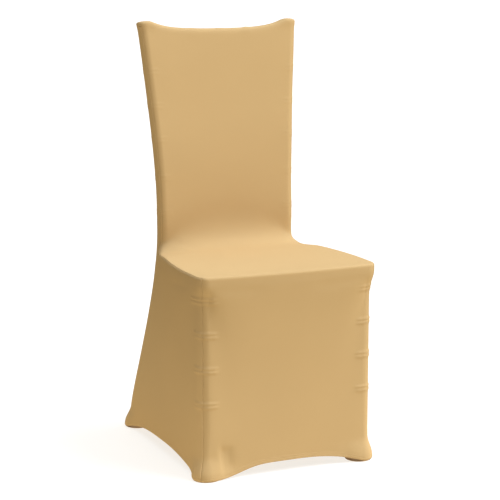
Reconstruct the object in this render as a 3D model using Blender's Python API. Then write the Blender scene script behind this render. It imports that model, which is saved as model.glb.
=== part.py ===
"""A stretch cover for a ring-turned banquet chair, pulled tight over it and hollow inside.

Four panels of one cloth are sewn edge to edge: the front panel runs up the front skirt, over the seat,
up the inside of the back and over the crest, the back panel hangs behind, and a side panel closes each
side. A foot pocket closes each leg at the floor. Every panel is drawn over the same form: four round
posts, the seat's edge and the top rail. Metres, +Z up, the front faces -Y, the origin is on the floor
under the middle of the cover.
"""

import math

import bmesh
import bpy
from mathutils import Vector

# The cloth and how its pieces meet
CLOTH = 0.0016
SEAM_GAP = 0.0003
FLOOR_HEM = 0.0025

# Front legs: one upright post at each front corner
FRONT_LEG_X = 0.1770
FRONT_LEG_Y = -0.2097
FRONT_LEG_RADIUS = 0.0195
FRONT_LEG_RINGS = (0.160, 0.234, 0.307, 0.379)

# Rear posts: the splayed rear leg below the seat and the reclined back post above it
REAR_POSTS = (
    # height, half spacing, depth
    (0.000, 0.1700, 0.2183),
    (0.048, 0.1738, 0.2000),
    (0.095, 0.1726, 0.1830),
    (0.190, 0.1642, 0.1526),
    (0.286, 0.1542, 0.1279),
    (0.381, 0.1462, 0.1097),
    (0.476, 0.1446, 0.1012),
    (0.571, 0.1450, 0.1046),
    (0.667, 0.1498, 0.1127),
    (0.762, 0.1565, 0.1249),
    (0.857, 0.1645, 0.1361),
    (0.924, 0.1705, 0.1458),
)
REAR_LEG_RADIUS = 0.0186
BACK_POST_RADIUS = 0.0171
BACK_POST_RINGS = (0.513, 0.589, 0.672, 0.745, 0.818)

# What every post carries: turned rings, a round foot at the floor, a lip at a back post's top
RING_HEIGHT = 0.0020
RING_HALF_WIDTH = 0.009
FOOT_RADIUS = 0.0300
FOOT_FLARE_TOP = 0.052
FOOT_FLARE_END = 0.011
FOOT_EDGE = 0.0060
HORN_LIP = 0.0018
HORN_LIP_HEIGHT = 0.010

# The seat: a board with bowed edges, round front corners and a crisp top edge
SEAT_TOP = 0.4308
SEAT_EDGE = 0.0060
SEAT_SIDE_FOOT = 0.408
CORNER_X = 0.1780
CORNER_Y = -0.2172
CORNER_RADIUS = 0.0250
CORNER_SWING = 1.6
FRONT_BOW = 0.0061
SIDE_WIDEST_X = 0.2043
SIDE_WIDEST_Y = -0.1650
SIDE_CURVE = 1.85

# How fast the cloth leaves the seat's edge for the legs: near a leg, and halfway between two legs
LEAVE_NEAR_LEG = (0.021, 1.8)
LEAVE_MIDDLE = (0.130, 1.2)

# The hollow sweep from the seat up to the back, in the middle and at the sides
SWEEP_DEPTH_MIDDLE = 0.085
SWEEP_HEIGHT_MIDDLE = 0.100
SWEEP_TIGHTNESS = 1.35
SWEEP_START_SIDE_Y = 0.0570
SWEEP_HEIGHT_SIDE = 0.0220

# The seat's rear corners are let down round this spot, by this much and over this width
CORNER_SINK = 0.0055
CORNER_SINK_WIDTH = 0.0320
CORNER_SINK_X = 0.1780
CORNER_SINK_Y = 0.0600

# The crest: the cloth dips between the two horns onto the top rail, leaning back as the posts do
HORN_TOP = 0.9254
HORN_ROUNDING = 0.0075
RAIL_ROUNDING = 0.0165
RAIL_DIP = 0.0188
DIP_START = 0.010
DIP_LENGTH = 0.036
ROUNDING_LENGTH = 0.022
HORN_SQUARENESS = 2.8
RAIL_SQUARENESS = 3.4
CREST_LEAN = 0.145

# The free hems arch up between the feet; a peak or a skew moves the highest point off the middle, and
# the front hem's two powers say how late it leaves each foot and how full it arches
FRONT_HEM_ARCH = 0.0215
FRONT_HEM_PEAK = 0.15
FRONT_HEM_LEFT = (3.2, 4.6)
FRONT_HEM_RIGHT = (1.0, 1.0)
REAR_HEM_ARCH = 0.0220
REAR_HEM_POWER = 2.1
SIDE_HEM_ARCH = 0.0250
SIDE_HEM_SKEW = 1.05
SIDE_HEM_POWER = 2.5

# How far a post's shape still shows in the cloth stretched beside it
RING_REACH = 0.014
FOOT_REACH = 0.026
FRONT_FOOT_REACH = 0.040

# Foot pockets: a flat sole with a rounded rim, and a wall standing inside the panels
POCKET_SOLE = 0.0022
SOLE_RADIUS = 0.0288
SOLE_RIM = 0.0018
POCKET_WALL_ROWS = (0.0022, 0.008, 0.015, 0.022, 0.030)
POCKET_WALL = 0.0016
POCKET_CLEARANCE = 0.0012
POCKET_STEPS = 20

# Rows and columns of cloth: heights on the skirt and the back, and shares of a span between seams
FOOT_ROWS = (FLOOR_HEM, 0.006, 0.014, 0.024, 0.036, 0.052, 0.085, 0.120)
BELOW_SEAT_ROWS = (0.400, 0.411)
EDGE_ROWS = (22.5, 45.0)
UPPER_BACK_ROWS = (0.862, 0.893)
SPAN_SHARES = (0.32, 0.62, 0.84, 0.94, 1.0)
SEAT_SHARES = (0.07, 0.20, 0.38, 0.56, 0.74, 0.88, 1.0)
ARC_COLUMNS = 3
CORNER_ROWS = 3
CORNER_EDGE_TURN = 67.5
SWEEP_ROWS = 5
CREST_ROWS = 6

# An eighth of a circle: how far its control point stands out from its chord, in radii, and its middle's facing
EIGHTH_BULGE = 1.0 / math.cos(math.pi / 8.0) - math.cos(math.pi / 8.0)
FACING_SIDE = math.cos(math.radians(67.5))
FACING_OUT = math.sin(math.radians(67.5))
FACING_UP = Vector((FACING_SIDE, 0.0, FACING_OUT))
FACING_FRONT = Vector((FACING_SIDE, -FACING_OUT, 0.0))

SAND = (0.63, 0.43, 0.19, 1.0)


def eased(value):
    """0 to 1 with a soft start and end."""
    value = min(max(value, 0.0), 1.0)
    return value * value * (3.0 - 2.0 * value)


def mixed(a, b, share):
    return a + (b - a) * share


def read(table, height, column):
    """A smooth curve through one column of a table whose first column is the height."""
    last = len(table) - 1
    row = 0
    while row < last - 1 and table[row + 1][0] < height:
        row += 1
    below, above = table[row], table[row + 1]
    step = above[0] - below[0]

    def slope(index):
        low, high = table[max(index - 1, 0)], table[min(index + 1, last)]
        return (high[column] - low[column]) / (high[0] - low[0])

    t = (height - below[0]) / step
    rise = t * t * (3.0 - 2.0 * t)
    start = t * (1.0 - t) ** 2 * step * slope(row)
    end = -t * t * (1.0 - t) * step * slope(row + 1)
    return mixed(below[column], above[column], rise) + start + end


def ring(height, rings):
    """How far the cloth stands out over the nearest turned ring."""
    out = 0.0
    for middle in rings:
        away = abs(height - middle) / RING_HALF_WIDTH
        if away < 1.0:
            out = RING_HEIGHT * 0.5 * (1.0 + math.cos(math.pi * away))
    return out


def foot(height, leg_radius):
    """How far the cloth stands out over the foot, with its lower edge rounded in."""
    share = eased((FOOT_FLARE_TOP - height) / (FOOT_FLARE_TOP - FOOT_FLARE_END))
    out = (FOOT_RADIUS - leg_radius) * share
    if height < FOOT_EDGE:
        out -= FOOT_EDGE - math.sqrt(FOOT_EDGE**2 - (FOOT_EDGE - height) ** 2)
    return out


class Post:
    """A post at one height: its middle, its bare radius and what stands out from it there."""

    def __init__(self, x, y, bare, rings, flare):
        self.x = x
        self.y = y
        self.bare = bare
        self.rings = rings
        self.flare = flare
        self.radius = bare + rings + flare

    def reach(self, away, foot_reach=FOOT_REACH):
        """The radius as the stretched cloth still shows it, this far from the post."""
        rings = self.rings * math.exp(-((away / RING_REACH) ** 2))
        flare = self.flare * math.exp(-((away / foot_reach) ** 2))
        return self.bare + rings + flare

    def at(self, angle):
        """The point on its round side: 0 faces outwards (+X), 90 the front, -90 the rear."""
        turn = math.radians(angle)
        return self.x + self.radius * math.cos(turn), self.y - self.radius * math.sin(turn)


def front_leg(height):
    rings = ring(height, FRONT_LEG_RINGS)
    flare = foot(height, FRONT_LEG_RADIUS)
    return Post(FRONT_LEG_X, FRONT_LEG_Y, FRONT_LEG_RADIUS, rings, flare)


def rear_post(height):
    x = read(REAR_POSTS, height, 1)
    y = read(REAR_POSTS, height, 2)
    bare = mixed(BACK_POST_RADIUS, REAR_LEG_RADIUS, eased((0.48 - height) / 0.12))
    rings = ring(height, BACK_POST_RINGS)
    lip_start = HORN_TOP - HORN_ROUNDING - HORN_LIP_HEIGHT
    rings += HORN_LIP * eased((height - lip_start) / HORN_LIP_HEIGHT)
    return Post(x, y, bare, rings, foot(height, REAR_LEG_RADIUS))


def seat_share(height, nearness):
    """1 where the cloth lies on the seat's edge, falling to 0 below; nearness is 1 beside a leg."""
    drop = max(0.0, SEAT_SIDE_FOOT - height)
    length = mixed(LEAVE_MIDDLE[0], LEAVE_NEAR_LEG[0], nearness)
    power = mixed(LEAVE_MIDDLE[1], LEAVE_NEAR_LEG[1], nearness)
    return math.exp(-((drop / length) ** power))


def edge(angle):
    """(inset, height) on the seat's rounded top edge: 0 is its side, 90 its top."""
    turn = math.radians(angle)
    return SEAT_EDGE * (1.0 - math.cos(turn)), SEAT_TOP - SEAT_EDGE * (1.0 - math.sin(turn))


def seat_side_x(y, height):
    """Half the seat's width at a depth, ending on the rear post's outer face."""
    if y < SIDE_WIDEST_Y:
        share = (SIDE_WIDEST_Y - y) / (SIDE_WIDEST_Y - CORNER_Y)
        return mixed(SIDE_WIDEST_X, CORNER_X + CORNER_RADIUS, share**2)
    post = rear_post(height)
    share = (y - SIDE_WIDEST_Y) / (post.y - SIDE_WIDEST_Y)
    return mixed(SIDE_WIDEST_X, post.x + post.radius, share**SIDE_CURVE)


def corner(angle, height, inset):
    """Over the front leg at an angle, drawn out to the seat's round corner near the top."""
    leg_x, leg_y = front_leg(height).at(angle)
    turn = math.radians(angle)
    seat_x = CORNER_X + (CORNER_RADIUS - inset) * math.cos(turn)
    seat_y = CORNER_Y - (CORNER_RADIUS - inset) * math.sin(turn)
    share = seat_share(height, 1.0)
    return Vector((mixed(leg_x, seat_x, share), mixed(leg_y, seat_y, share), height))


def hemmed(height, lift, top):
    """A height moved up with the hem below it, fading out towards top."""
    share = min(max((top - height) / (top - FLOOR_HEM), 0.0), 1.0)
    return height + lift * share


def rounded(start, end, radius, facing, share):
    """A soft bend from start to end, the eighth of a circle bulging towards facing."""
    middle = (start + end) / 2.0 + facing.normalized() * radius * EIGHTH_BULGE
    return start * (1.0 - share) ** 2 + middle * 2.0 * share * (1.0 - share) + end * share**2


# Front panel, right half. Across it, 0 to 1 is the span from the middle to a post's front face, and
# 1 to 2 the eighth of a turn from there to the side seam.


def front_skirt(across, height, angle, side):
    """On the front skirt; angle is 0 below the seat's rounded top edge, side is -1 on the left half."""
    inset, edge_height = edge(angle)
    if angle > 0.0:
        height = edge_height
    if across > 1.0:
        return corner(90.0 - 45.0 * (across - 1.0), height, inset)
    place = across * side - FRONT_HEM_PEAK * (1.0 - across**2)
    rise, full = FRONT_HEM_RIGHT if place > 0.0 else FRONT_HEM_LEFT
    arch = 1.0 - (1.0 - (1.0 - place**2) ** rise) ** full
    lifted = hemmed(height, FRONT_HEM_ARCH * arch, SEAT_TOP - SEAT_EDGE)
    leg = front_leg(lifted)
    away = (1.0 - across) * leg.x
    seat_y = CORNER_Y - CORNER_RADIUS - FRONT_BOW * (1.0 - across**2) + inset
    share = seat_share(lifted, across**4)
    x = across * mixed(leg.x, CORNER_X, share)
    return Vector((x, mixed(leg.y - leg.reach(away, FRONT_FOOT_REACH), seat_y, share), lifted))


def side_edge(y):
    """On the side's seam along the seat, halfway round the rounded edge."""
    inset, height = edge(45.0)
    return Vector((seat_side_x(y, height) - inset, y, height))


def corner_edge(angle):
    """On the same seam round the seat's front corner."""
    inset, height = edge(45.0)
    return corner(angle, height, inset)


def sweep_start_y(across):
    """Where the seat begins to sweep up to the back."""
    post = rear_post(SEAT_TOP)
    middle = post.y - post.radius - SWEEP_DEPTH_MIDDLE
    return mixed(middle, SWEEP_START_SIDE_Y, min(across, 1.0) ** 2)


def seat_corner_row(across, turned):
    """Rows that turn with the seam round the front corner; turned goes from 0 to 1."""
    seam = corner_edge(45.0 * (1.0 - turned))
    inset, height = edge(min(45.0 + CORNER_EDGE_TURN * turned, 90.0))
    swing = math.radians(90.0 * (1.0 - turned**CORNER_SWING))
    end_x = CORNER_X + (CORNER_RADIUS - inset) * math.cos(swing)
    end_y = CORNER_Y - (CORNER_RADIUS - inset) * math.sin(swing)
    if across > 1.0:
        facing = FACING_FRONT.lerp(FACING_UP, turned)
        radius = mixed(CORNER_RADIUS, SEAT_EDGE, turned)
        return rounded(Vector((end_x, end_y, height)), seam, radius, facing, across - 1.0)
    bow = FRONT_BOW * (1.0 - across**2)
    return Vector((across * end_x, end_y - bow, height))


def seat_row(across, y):
    """Flat rows over the seat; y is where the row meets the side's seam."""
    seam = side_edge(y)
    end = Vector((seat_side_x(y, SEAT_TOP) - SEAT_EDGE, y, SEAT_TOP))
    if across > 1.0:
        return rounded(end, seam, SEAT_EDGE, FACING_UP, across - 1.0)
    share = (y - CORNER_Y) / (SWEEP_START_SIDE_Y - CORNER_Y)
    front = CORNER_Y - FRONT_BOW * (1.0 - across**2)
    return Vector((across * end.x, mixed(front, sweep_start_y(across), share), SEAT_TOP))


def sweep_seam(angle, inward=0.0):
    """The side seam in the hollow corner between seat and back; inward 1 is on the post's outer face."""
    turn = math.radians(angle)
    start = side_edge(SWEEP_START_SIDE_Y)
    height = start.z + SWEEP_HEIGHT_SIDE * (1.0 - math.cos(turn))
    post = rear_post(height)
    share = math.sin(turn) ** 2
    x_post, y_post = post.at(45.0 * (1.0 - inward))
    y_web = mixed(mixed(start.y, post.at(45.0)[1], math.sin(turn)), post.y, inward)
    inset = edge(45.0)[0] * (1.0 - inward) ** 2
    x_web = seat_side_x(y_web, height) - inset
    return Vector((mixed(x_web, x_post, share), mixed(y_web, y_post, share), height))


def sweep_row(across, angle):
    """Rows of the hollow sweep; angle goes from 0 on the seat to 90 on the back."""
    turn = math.radians(angle)
    span = min(across, 1.0)
    rise = mixed(SWEEP_HEIGHT_MIDDLE, SWEEP_HEIGHT_SIDE + edge(45.0)[0], span**2)
    start_y = sweep_start_y(across)
    top = SEAT_TOP + rise - edge(45.0)[0] * span**2 * math.sin(turn) ** 2
    post = rear_post(SEAT_TOP + rise)
    seat_x = seat_side_x(SWEEP_START_SIDE_Y, SEAT_TOP) - SEAT_EDGE
    share = math.sin(turn) ** 2
    tightness = mixed(SWEEP_TIGHTNESS, 1.0, span**2)
    inwards = 1.0 - (1.0 - math.sin(turn)) ** tightness
    upwards = (1.0 - math.cos(turn)) ** tightness
    point = Vector((
        span * mixed(seat_x, post.x, share),
        mixed(start_y, post.y - post.bare, inwards),
        mixed(SEAT_TOP, top, upwards),
    ))
    if across <= 1.0:
        return point
    facing = FACING_UP.lerp(FACING_FRONT, share)
    return rounded(point, sweep_seam(angle), mixed(SEAT_EDGE, post.bare, share), facing, across - 1.0)


def crest(away):
    """(top, rounding, squareness) of the crest, this far inwards from a horn's middle."""
    dip = 1.0 - math.exp(-max(away - DIP_START, 0.0) / DIP_LENGTH)
    rail = 1.0 - math.exp(-max(away - DIP_START, 0.0) / ROUNDING_LENGTH)
    top = HORN_TOP - RAIL_DIP * dip
    return top, mixed(HORN_ROUNDING, RAIL_ROUNDING, rail), mixed(HORN_SQUARENESS, RAIL_SQUARENESS, rail)


def rim_height(across):
    """Where the back's face meets the crest's rounding."""
    away = (1.0 - min(across, 1.0)) * rear_post(HORN_TOP - HORN_ROUNDING).x
    top, rounding, _ = crest(away)
    return top - rounding


def back_face(across, height, low, base, side):
    """On the inside (side 1) or outside (side -1) of the back; base is its level where the seam is at low."""
    if across > 1.0:
        post = rear_post(height)
        x, y = post.at(side * (90.0 - 45.0 * (across - 1.0)))
        return Vector((x, y, height))
    share = (height - low) / (HORN_TOP - HORN_ROUNDING - low)
    level = mixed(base, rim_height(across), share)
    post = rear_post(level)
    away = (1.0 - across) * post.x
    return Vector((across * post.x, post.y - side * post.reach(away), level))


def inside_back(across, height):
    return back_face(across, height, sweep_seam(90.0).z, sweep_row(across, 90.0).z, 1.0)


def crest_row(across, angle):
    """Rows over the crest; angle goes from 0 at the front to 180 at the rear."""
    turn = math.radians(angle)
    span = min(across, 1.0)
    rim = rim_height(across)
    post = rear_post(rim)
    away = (1.0 - span) * post.x
    _, rounding, squareness = crest(away)
    power = 2.0 / squareness
    reach = post.reach(away)
    if across <= 1.0:
        forward = math.copysign(abs(math.cos(turn)) ** power, math.cos(turn)) * reach
        up = abs(math.sin(turn)) ** power * rounding
        tilt = CREST_LEAN * forward * up / rounding
        return Vector((across * post.x, post.y - forward + CREST_LEAN * up, rim + up + tilt))
    outward = math.radians(45.0 - angle / 2.0)
    seam = Vector((math.cos(outward), -math.sin(outward), 0.0))
    middle = Vector((0.0, -math.cos(turn), math.sin(turn)))
    way = middle.slerp(seam, across - 1.0, middle).normalized()
    level = math.hypot(way.x, way.y)
    if level > 1e-9:
        way.x, way.y = way.x / level * level**power * reach, way.y / level * level**power * reach
    up = max(way.z, 0.0) ** power * rounding
    tilt = -CREST_LEAN * way.y * up / rounding
    return Vector((post.x + way.x, post.y + way.y + CREST_LEAN * up, rim + up + tilt))


# Back panel, right half, across as on the front panel


def rear_skirt(across, height):
    if across > 1.0:
        x, y = rear_post(height).at(-90.0 + 45.0 * (across - 1.0))
        return Vector((x, y, height))
    lifted = hemmed(height, REAR_HEM_ARCH * (1.0 - across**REAR_HEM_POWER), SEAT_TOP - SEAT_EDGE)
    post = rear_post(lifted)
    away = (1.0 - across) * post.x
    return Vector((across * post.x, post.y + post.reach(away), lifted))


def outside_back(across, height):
    low = sweep_seam(0.0).z
    return back_face(across, height, low, low, -1.0)


# Side panel, right. Along it, 0 to 1 is the front leg's eighth of a turn, 1 to 2 the span beside the
# seat, 2 to 3 the stretch below the hollow corner and 3 to 4 the rear post's eighth of a turn.


def side_skirt(along, height, angle):
    inset, edge_height = edge(angle)
    if angle > 0.0:
        height = edge_height
    if along < 1.0:
        return corner(45.0 * (1.0 - along), height, inset)
    if along > 3.0:
        x, y = rear_post(height).at(-45.0 * (along - 3.0))
        return Vector((x, y, height))
    post_y = rear_post(SEAT_TOP).y
    turn_off = (SWEEP_START_SIDE_Y - FRONT_LEG_Y) / (post_y - FRONT_LEG_Y)
    if along < 2.0:
        share = turn_off * (along - 1.0)
    else:
        share = mixed(turn_off, 1.0, along - 2.0)
    arch = 1.0 - abs(2.0 * share**SIDE_HEM_SKEW - 1.0) ** SIDE_HEM_POWER
    lifted = hemmed(height, SIDE_HEM_ARCH * arch, SEAT_TOP - SEAT_EDGE)
    leg, post = front_leg(lifted), rear_post(lifted)
    length = post.y - leg.y
    out = max(leg.reach(share * length) - leg.bare, post.reach((1.0 - share) * length) - post.bare)
    leg_x = mixed(leg.x + leg.bare, post.x + post.bare, share) + out
    leg_y = mixed(leg.y, post.y, share)
    if along < 2.0:
        seat_y = mixed(CORNER_Y, SWEEP_START_SIDE_Y, along - 1.0)
        fade = 1.0
    else:
        seat_y = mixed(SWEEP_START_SIDE_Y, post.y, along - 2.0)
        fade = (3.0 - along) ** 2
    seat_x = seat_side_x(seat_y, lifted) - inset * fade
    nearness = max((1.0 - share) ** 4, 0.0)
    held = seat_share(lifted, nearness)
    return Vector((mixed(leg_x, seat_x, held), mixed(leg_y, seat_y, held), lifted))


def side_sweep(along, angle):
    """The side panel beside the hollow corner between seat and back."""
    if along <= 3.0:
        return sweep_seam(angle, along - 2.0)
    height = sweep_seam(angle).z
    x, y = rear_post(height).at(-45.0 * (along - 3.0))
    return Vector((x, y, height))


def side_back(along, height):
    """The side panel up the back post's outer side."""
    x, y = rear_post(height).at(45.0 - 45.0 * (along - 2.0))
    return Vector((x, y, height))


# Rows and columns


def ring_rows(rings):
    rows = []
    for middle in rings:
        rows += [middle - RING_HALF_WIDTH, middle, middle + RING_HALF_WIDTH]
    return rows


def skirt_heights():
    return [*FOOT_ROWS, *ring_rows(FRONT_LEG_RINGS), *BELOW_SEAT_ROWS, SEAT_TOP - SEAT_EDGE]


def back_heights():
    """Above the hollow corner, which ends at sweep_seam(90)."""
    rim = HORN_TOP - HORN_ROUNDING
    return [*ring_rows(BACK_POST_RINGS), *UPPER_BACK_ROWS, rim - HORN_LIP_HEIGHT, rim]


def steps(start, end, count):
    """count values after start, the last one end."""
    return [mixed(start, end, (index + 1) / count) for index in range(count)]


def seat_depths():
    """Where the seat's rows, and the side panel's columns, meet the seam along the seat."""
    return [mixed(CORNER_Y, SWEEP_START_SIDE_Y, share) for share in SEAT_SHARES]


def front_rows():
    rows = [lambda across, side, h=h: front_skirt(across, h, 0.0, side) for h in skirt_heights()]
    rows += [lambda across, side, a=a: front_skirt(across, 0.0, a, side) for a in EDGE_ROWS]
    rows += [lambda across, _, t=t: seat_corner_row(across, t) for t in steps(0.0, 1.0, CORNER_ROWS)]
    rows += [lambda across, _, y=y: seat_row(across, y) for y in seat_depths()]
    rows += [lambda across, _, a=a: sweep_row(across, a) for a in steps(0.0, 90.0, SWEEP_ROWS)]
    rows += [lambda across, _, h=h: inside_back(across, h) for h in back_heights()]
    rows += [lambda across, _, a=a: crest_row(across, a) for a in steps(0.0, 180.0, CREST_ROWS)]
    return rows


def back_rows():
    heights = skirt_heights() + [edge(angle)[1] for angle in EDGE_ROWS]
    rows = [lambda across, _, h=h: rear_skirt(across, h) for h in heights]
    heights = [sweep_seam(a).z for a in steps(0.0, 90.0, SWEEP_ROWS)] + back_heights()
    rows += [lambda across, _, h=h: outside_back(across, h) for h in heights]
    return rows


def side_rows():
    rows = [lambda along, h=h: side_skirt(along, h, 0.0) for h in skirt_heights()]
    rows += [lambda along, a=a: side_skirt(along, 0.0, a) for a in EDGE_ROWS]
    rows += [lambda along, a=a: side_sweep(along, a) for a in steps(0.0, 90.0, SWEEP_ROWS)]
    rows += [lambda along, h=h: side_back(along, h) for h in back_heights()]
    return rows


def across_columns():
    """-2 to 2, from the left seam to the right one."""
    half = [*SPAN_SHARES, *steps(1.0, 2.0, ARC_COLUMNS)]
    return [-value for value in reversed(half)] + [0.0] + half


def along_columns():
    half = CREST_ROWS // 2
    seat = [1.0 + share for share in SEAT_SHARES]
    return [0.0, *steps(0.0, 1.0, ARC_COLUMNS), *seat, *steps(2.0, 3.0, half), *steps(3.0, 4.0, half)]


def mirrored(point, sign):
    return Vector((point.x * sign, point.y, point.z))


def sunk(point):
    """Lets the cloth down at the seat's rear corners, where it is drawn from the posts over the edge."""
    away = math.hypot(abs(point.x) - CORNER_SINK_X, point.y - CORNER_SINK_Y)
    point.z -= CORNER_SINK * math.exp(-(away**2 + (point.z - SEAT_TOP) ** 2) / CORNER_SINK_WIDTH**2)
    return point


def across_point(row, value):
    """A half-panel row read on either side of the middle."""
    side = -1.0 if value < 0.0 else 1.0
    return sunk(mirrored(row(abs(value), side), side))


# Sewing: the panels are drawn as one skin, so that neighbours share each seam's points and facing


def add_grid(skin, panel, columns, rows, place):
    """A grid of cloth moved onto the form. Its faces are marked with the panel's number."""
    across, up = len(columns) - 1, len(rows) - 1
    grid = bmesh.new()
    bmesh.ops.create_grid(grid, x_segments=across, y_segments=up, size=0.5)
    mark = grid.faces.layers.int.new("panel")
    for face in grid.faces:
        face[mark] = panel
    cells = {vert: (round((vert.co.x + 0.5) * across), round((vert.co.y + 0.5) * up)) for vert in grid.verts}
    unused = [vert for vert, (i, j) in cells.items() if place(columns[i], j, rows[j]) is None]
    for vert, (i, j) in cells.items():
        vert.co = place(columns[i], j, rows[j]) or vert.co
    bmesh.ops.delete(grid, geom=unused, context="VERTS")
    mesh = bpy.data.meshes.new("grid")
    grid.to_mesh(mesh)
    grid.free()
    skin.from_mesh(mesh)
    bpy.data.meshes.remove(mesh)


def skin_of_cloth():
    """The cover's whole outer face, welded at the seams, which are marked."""
    skin = bmesh.new()
    skin.faces.layers.int.new("panel")
    across = across_columns()
    along = along_columns()
    seat_row_count = len(skirt_heights()) + len(EDGE_ROWS)

    def front(value, _, row):
        return across_point(row, value)

    def side(sign):
        def place(value, index, row):
            if index >= seat_row_count and value < 2.0 - 1e-9:
                return None
            return sunk(mirrored(row(value), sign))

        return place

    add_grid(skin, 0, across, front_rows(), front)
    add_grid(skin, 1, across, back_rows(), front)
    add_grid(skin, 2, along, side_rows(), side(-1.0))
    add_grid(skin, 3, along, side_rows(), side(1.0))
    bmesh.ops.remove_doubles(skin, verts=skin.verts, dist=0.00002)
    bmesh.ops.recalc_face_normals(skin, faces=skin.faces)
    mark = skin.faces.layers.int["panel"]
    facing = skin.verts.layers.float_vector.new("facing")
    skin.normal_update()
    for vert in skin.verts:
        vert[facing] = vert.normal
    for line in skin.edges:
        line.seam = len({face[mark] for face in line.link_faces}) > 1
    return skin


def draw_in_seams(panel):
    """Moves the seam edges half the gap into the panel."""
    facing = panel.verts.layers.float_vector["facing"]
    moves = {}
    for vert in panel.verts:
        inwards = []
        for line in vert.link_edges:
            if len(line.link_faces) == 1 and line.seam:
                run = (line.other_vert(vert).co - vert.co).normalized()
                way = vert[facing].cross(run).normalized()
                inside = line.link_faces[0].calc_center_median() - vert.co
                inwards.append(way if way.dot(inside) > 0.0 else -way)
        if inwards:
            total = sum(inwards, Vector())
            spread = 1.0 + (inwards[0].dot(inwards[1]) if len(inwards) > 1 else 0.0)
            moves[vert] = total / max(spread, 0.5) * (SEAM_GAP / 2.0)
    for vert, move in moves.items():
        vert.co += move


def thicken(panel):
    """Adds the inner face, one thickness of cloth inside the outer one, and the edges between them."""
    facing = panel.verts.layers.float_vector["facing"]
    made = bmesh.ops.extrude_face_region(panel, geom=panel.faces[:], use_keep_orig=True)
    for item in made["geom"]:
        if isinstance(item, bmesh.types.BMVert):
            item.co -= Vector(item[facing]) * CLOTH


def sand_cloth():
    material = bpy.data.materials.new("sand_stretch_cloth")
    material.use_nodes = True
    shader = material.node_tree.nodes["Principled BSDF"]
    shader.inputs["Base Color"].default_value = SAND
    shader.inputs["Roughness"].default_value = 0.62
    shader.inputs["Metallic"].default_value = 0.0
    shader.inputs["Sheen Weight"].default_value = 0.25
    return material


def add_object(name, source, material):
    bmesh.ops.recalc_face_normals(source, faces=source.faces)
    if source.calc_volume(signed=True) < 0.0:
        bmesh.ops.reverse_faces(source, faces=source.faces)
    mesh = bpy.data.meshes.new(name)
    source.to_mesh(mesh)
    source.free()
    mesh.materials.append(material.copy())
    mesh.shade_smooth()
    mesh.set_sharp_from_angle(angle=math.radians(50.0))
    made = bpy.data.objects.new(name, mesh)
    bpy.context.scene.collection.objects.link(made)
    return made


def add_panel(skin, number, name, material):
    panel = skin.copy()
    mark = panel.faces.layers.int["panel"]
    others = [face for face in panel.faces if face[mark] != number]
    bmesh.ops.delete(panel, geom=others, context="FACES")
    draw_in_seams(panel)
    thicken(panel)
    return add_object(name, panel, material)


def pocket_profile(post_at):
    """(radius, height) round a foot pocket: its sole and rim, its outer wall and its inner wall."""

    def wall(height):
        return post_at(height).radius - CLOTH - POCKET_CLEARANCE

    outer = [(wall(height), height) for height in POCKET_WALL_ROWS]
    inner = [(radius - POCKET_WALL, height) for radius, height in reversed(outer)]
    rim = []
    for angle in (0.0, 45.0, 90.0):
        turn = math.radians(angle)
        rim.append((SOLE_RADIUS - SOLE_RIM * (1.0 - math.sin(turn)), SOLE_RIM * (1.0 - math.cos(turn))))
    return [(0.0, 0.0), *rim, (SOLE_RADIUS, POCKET_SOLE), *outer, *inner, (0.0, POCKET_SOLE)]


def add_pocket(name, post_at, sign, material):
    """A turned cup, leaning with its post."""
    pocket = bmesh.new()
    points = [pocket.verts.new((r, 0.0, h)) for r, h in pocket_profile(post_at)]
    lines = [pocket.edges.new(pair) for pair in zip(points, points[1:])]
    bmesh.ops.spin(
        pocket, geom=points + lines, cent=(0.0, 0.0, 0.0), axis=(0.0, 0.0, 1.0),
        angle=math.tau, steps=POCKET_STEPS, use_merge=True,
    )
    bmesh.ops.remove_doubles(pocket, verts=pocket.verts, dist=0.00001)
    for vert in pocket.verts:
        post = post_at(vert.co.z)
        vert.co = mirrored(Vector((vert.co.x + post.x, vert.co.y + post.y, vert.co.z)), sign)
    return add_object(name, pocket, material)


def main():
    for old in list(bpy.data.objects):
        bpy.data.objects.remove(old)
    material = sand_cloth()
    skin = skin_of_cloth()
    for number, name in enumerate(("front_panel", "back_panel", "side_panel_left", "side_panel_right")):
        add_panel(skin, number, name, material)
    skin.free()
    for side, sign in (("left", -1.0), ("right", 1.0)):
        add_pocket("foot_pocket_front_" + side, front_leg, sign, material)
        add_pocket("foot_pocket_rear_" + side, rear_post, sign, material)


main()
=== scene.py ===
"""The looks of a stretch chair cover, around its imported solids.

Four panels of thin sand cloth are drawn as one skin over the form of a ringed banquet chair, then cut apart
at their seams, and a foot pocket closes each leg. The file is laid out as an add-on and run as a script.
Metres, +Z up, the front faces -Y.
"""

import math

import bmesh
import bpy
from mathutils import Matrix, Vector, noise


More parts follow.
